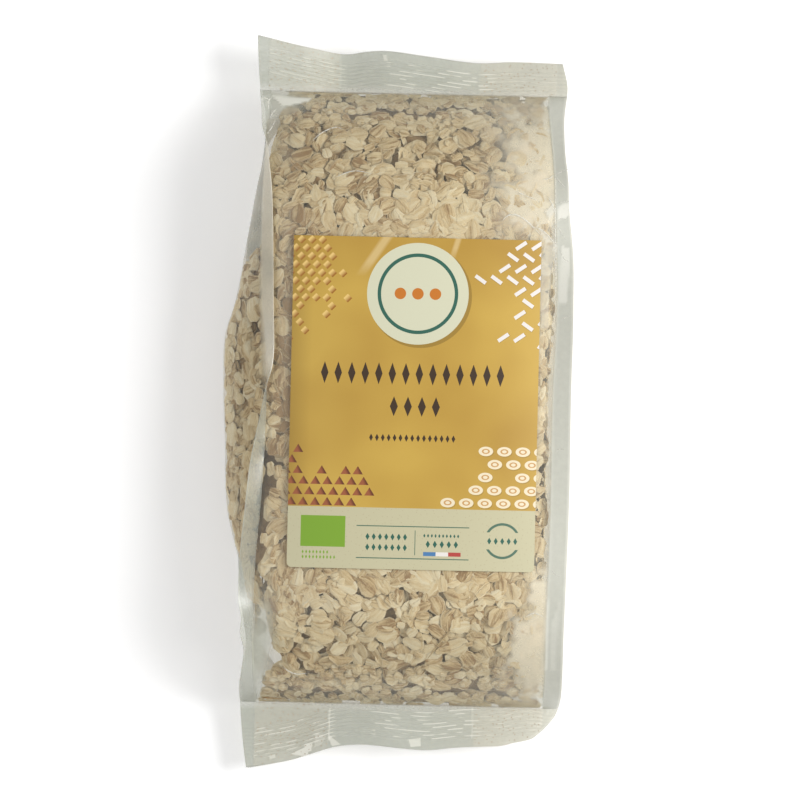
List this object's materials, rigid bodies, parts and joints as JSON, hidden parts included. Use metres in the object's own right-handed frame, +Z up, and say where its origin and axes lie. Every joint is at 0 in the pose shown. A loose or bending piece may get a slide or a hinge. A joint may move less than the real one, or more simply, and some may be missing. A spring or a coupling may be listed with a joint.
{
  "type": "bag of rolled oats",
  "caption": "Sealed clear side-gusset film bag full of large rolled oats, with crimped end seals, long edge fins and a paper front label, lying on its back.",
  "frame": {"origin": "centre of the bounding box in plan, on the surface the bag lies on", "axes": "+Y runs along the bag from the bottom seal to the top seal, +X runs across the label to its right, +Z points up through the label"},
  "size_m": [0.1402, 0.2938, 0.0502],
  "materials": {
    "film_over_oats": "satin",
    "printed_label": "satin"
  },
  "bodies": {
    "root": {"bag": "film_over_oats", "front_label": "printed_label"}
  },
  "joints": []
}
